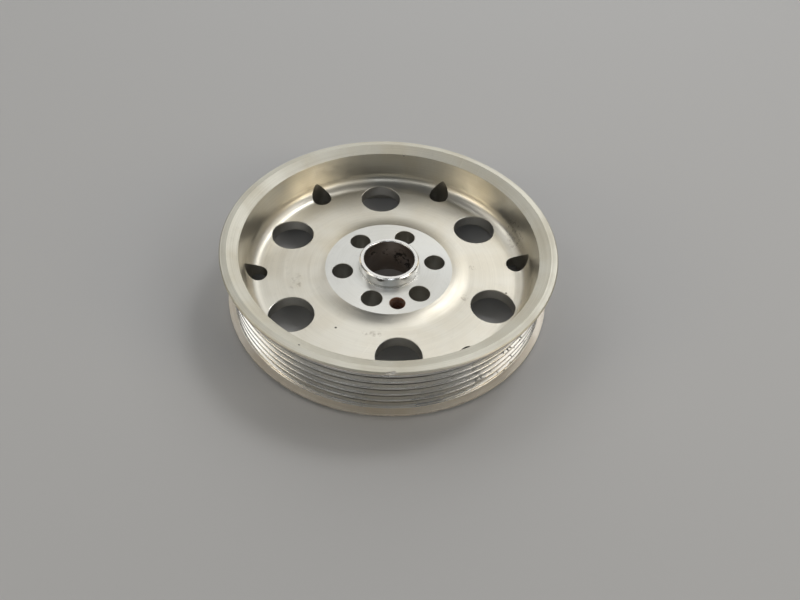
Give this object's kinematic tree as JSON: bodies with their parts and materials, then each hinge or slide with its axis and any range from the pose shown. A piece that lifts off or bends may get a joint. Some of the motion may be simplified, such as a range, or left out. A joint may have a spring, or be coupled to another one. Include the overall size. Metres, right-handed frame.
{
  "type": "ribbed belt pulley",
  "caption": "Machined aluminium multi-rib belt pulley with a dished web, round windows, bolt circle, dowel hole and raised locating collar around the centre bore.",
  "frame": {"origin": "middle of the centre bore on the resting plane, the hub's back face", "axes": "+Z along the pulley axis, out of the dished side with the collar; a bolt hole stands 11 degrees from +X towards +Y, and the dowel hole 79 degrees from +X towards -Y"},
  "size_m": [0.131, 0.131, 0.0275],
  "materials": {
    "machined_aluminium": "satin turned aluminium with fine concentric tool marks, a polished collar and light handling marks"
  },
  "bodies": {
    "root": {"pulley": "machined_aluminium"}
  },
  "joints": []
}
